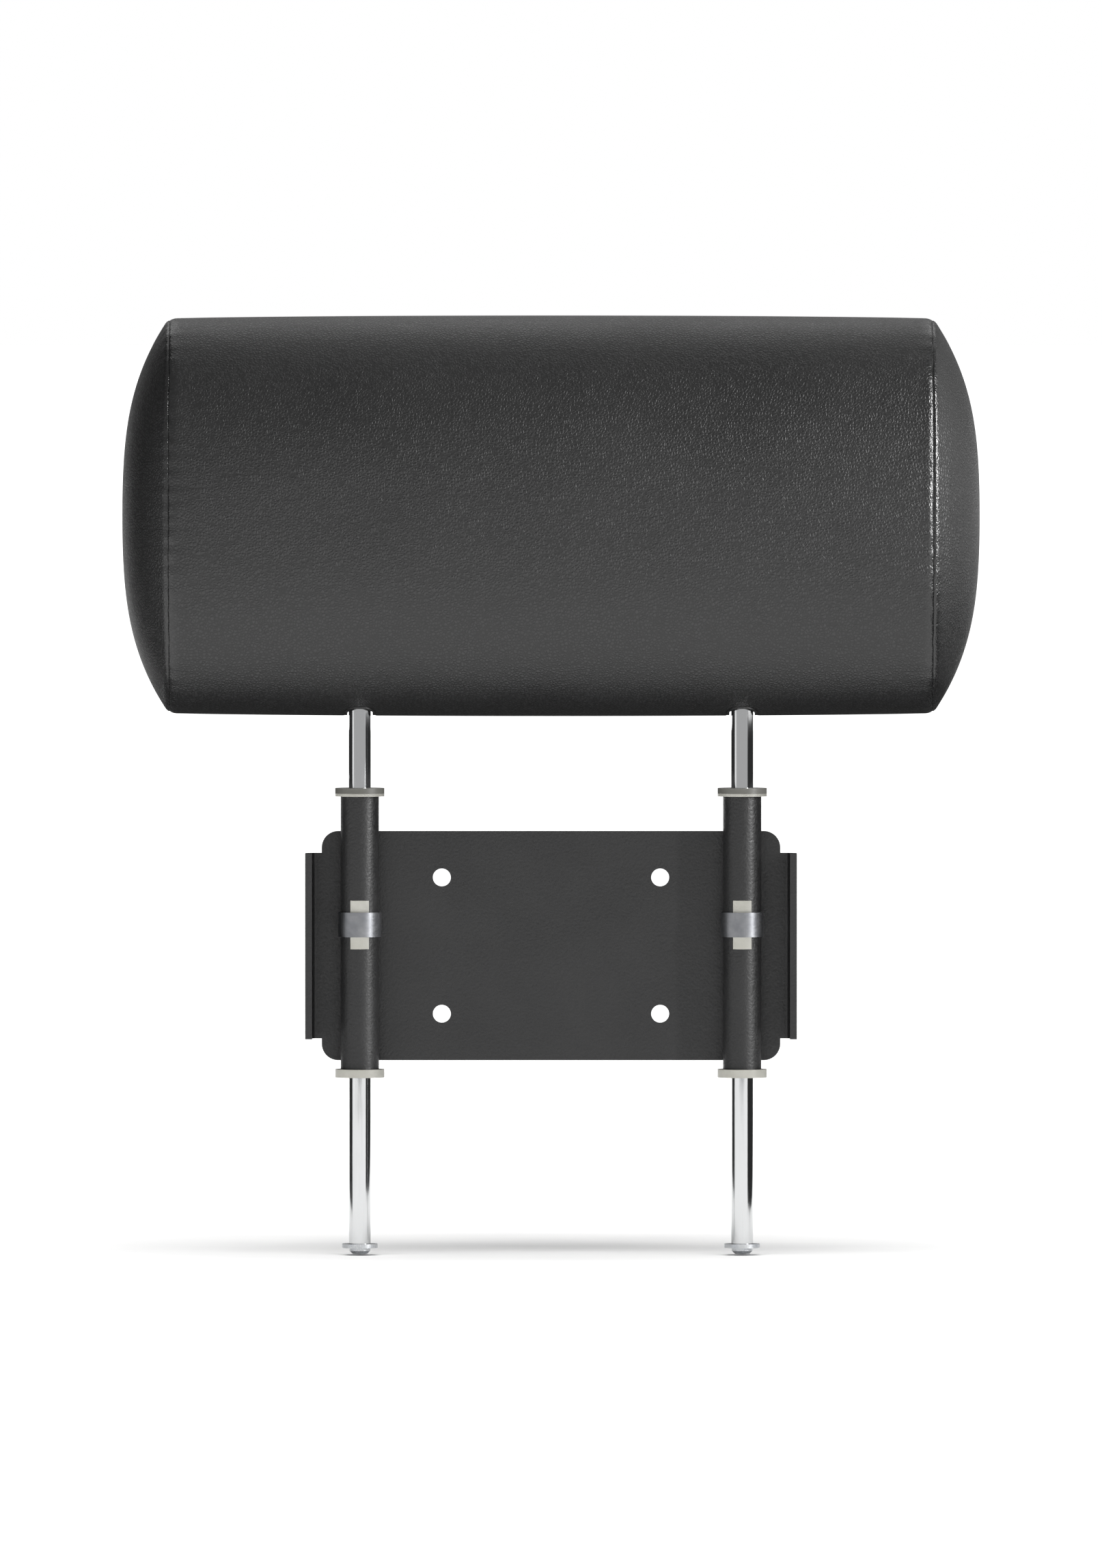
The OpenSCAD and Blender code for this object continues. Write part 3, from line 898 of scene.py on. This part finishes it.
def pale_floor(height, size=40.0):
    """A matt floor that reaches size to every side."""
    m = Material("pale_floor", roughness=0.8, Specular_IOR_Level=0.0)
    grain = m.noise(60 * MM, detail=5.0)
    m.color(m.blend(m.spread(grain, 0.3, 0.7), (0.86, 0.86, 0.86), (0.90, 0.90, 0.895)))
    corners = [(-size, -size, height), (size, -size, height), (size, size, height), (-size, size, height)]
    floor = mesh_object("floor", corners, [(0, 1, 2, 3)], smooth=False)
    floor.data.materials.append(m.material)
    return floor


def card(name, corner, along, up, glow):
    """An evenly bright card, spanned by two edges from its corner, which only reflections show."""
    corner, along, up = Vector(corner), Vector(along), Vector(up)
    board = mesh_object(name, [corner, corner + along, corner + along + up, corner + up], [(0, 1, 2, 3)])
    finish = Material(name, roughness=1.0, color=(0, 0, 0), Specular_IOR_Level=0.0)
    finish.shader.inputs["Emission Color"].default_value = (1, 1, 1, 1)
    finish.shader.inputs["Emission Strength"].default_value = glow
    board.data.materials.append(finish.material)
    board.visible_camera = False
    board.visible_shadow = False


def pale_world():
    """White to the camera and a dimmer grey to everything that the object reflects."""
    world = bpy.data.worlds.new("studio")
    bpy.context.scene.world = world
    world.use_nodes = True
    nodes, links = world.node_tree.nodes, world.node_tree.links
    background = next(n for n in nodes if n.type == "BACKGROUND")
    path = nodes.new("ShaderNodeLightPath")
    mix = nodes.new("ShaderNodeMix")
    mix.data_type = "RGBA"
    mix.inputs[6].default_value = (0.28, 0.28, 0.28, 1)
    mix.inputs[7].default_value = (1, 1, 1, 1)
    links.new(path.outputs["Is Camera Ray"], mix.inputs[0])
    links.new(mix.outputs[2], background.inputs["Color"])


def camera(low, high):
    """A long lens 9 m behind the chair, 1.5 degrees above the object's middle."""
    distance, elevation, view_height = 9.0, math.radians(1.5), 0.575
    data = bpy.data.cameras.new("camera")
    data.sensor_width = 36.0
    data.lens = data.sensor_width * distance / view_height
    data.clip_end = 200
    obj = bpy.data.objects.new("camera", data)
    bpy.context.scene.collection.objects.link(obj)
    middle = (low + high) / 2
    back = Vector((0, math.cos(elevation), math.sin(elevation)))
    obj.location = middle + back * distance
    obj.rotation_mode = "QUATERNION"
    obj.rotation_quaternion = (-back).to_track_quat("-Z", "Y")
    bpy.context.scene.camera = obj


def lights(middle):
    """Soft lights above the pad and beside it, and a strip for the bright lines along the right seam."""
    softbox("top_light", (0, -0.3, 1.7), middle, width=1.8, height=0.6, brightness=1.1)
    softbox("front_light", (0, -1.25, 1.45), middle, width=2.4, height=0.7, brightness=1.3)
    softbox("side_light", (-1.0, -0.3, 0.50), (-0.15, 0, 0.2), width=0.6, height=0.8, brightness=0.8)
    strip = softbox(
        "strip_light", (-1.03, 0.64, 0.60), (-0.14, 0.02, 0.60), width=0.06, height=0.95, brightness=145
    )
    strip.visible_diffuse = False


def cards(bottom, pad_low):
    """What the posts mirror: the pale room behind the camera, dark sides, and the dark chair.

    They give the posts their grey core and dark edges.
    """
    chair_top = pad_low - CHAIR_GAP
    to_pad = (0, 0, pad_low - bottom - CARD_CLEARANCE)
    chair_to_pad = (0, 0, CHAIR_GAP - CARD_CLEARANCE)
    card("camera_card", (-3.5, 1.6, bottom), along=(7.0, 0, 0), up=(0, 0, 0.9), glow=0.62)
    card("left_card", (0.45, 0.05, bottom), along=(0, -0.5, 0), up=(0, 0, 0.9), glow=0.04)
    card("right_card", (-0.45, 0.25, bottom), along=(0, -1.4, 0), up=to_pad, glow=0.04)
    card("front_card", (-0.3, -0.2, chair_top), along=(0.6, 0, 0), up=chair_to_pad, glow=0.04)
    card("chair_card", (-0.2, -0.2, chair_top), along=(0.4, 0, 0), up=(0, 0.23, 0), glow=0.08)


def studio(low, high):
    """A white floor up to a white horizon, with the lights and the cards."""
    pad_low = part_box("cover_wrap")[0].z
    floor_sun(pale_floor(low.z - FLOOR_CLEARANCE))
    pale_world()
    lights((0, 0, (pad_low + high.z) / 2))
    cards(low.z, pad_low)
    bpy.context.scene.view_settings.view_transform = "Standard"


# ---------- Putting it together ----------


def dress_frame(frame):
    """Gives each CAD piece that stays the material of its slot. Returns the materials by slot."""
    finishes = {
        "chrome_rod": chrome(),
        "black_powder_coat": powder_coat(),
        "zinc_plated_steel": zinc_plate(),
        "spring_steel": spring_steel(),
        "natural_nylon": nylon("natural_nylon", (0.56, 0.55, 0.49), (0.66, 0.65, 0.59), 0.42),
        "black_nylon": nylon("black_nylon", (0.012, 0.012, 0.012), (0.022, 0.022, 0.022), 0.45),
        "plywood": plywood("inner_board"),
        "foam": foam(),
    }
    for part in frame["record"]["subparts"]:
        finish = finishes.get(part["material_slot"])
        if finish:
            mesh = frame["nodes"][part["node"]].data
            mesh.materials.clear()
            mesh.materials.append(finish)
    return finishes


def main():
    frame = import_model()
    cad_low, cad_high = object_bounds()
    camera(cad_low, cad_high)
    studio(cad_low, cad_high)
    finishes = dress_frame(frame)
    section = Section()
    make_cover(section)
    closing_stitches(section)
    make_welds(finishes["black_powder_coat"])


main()
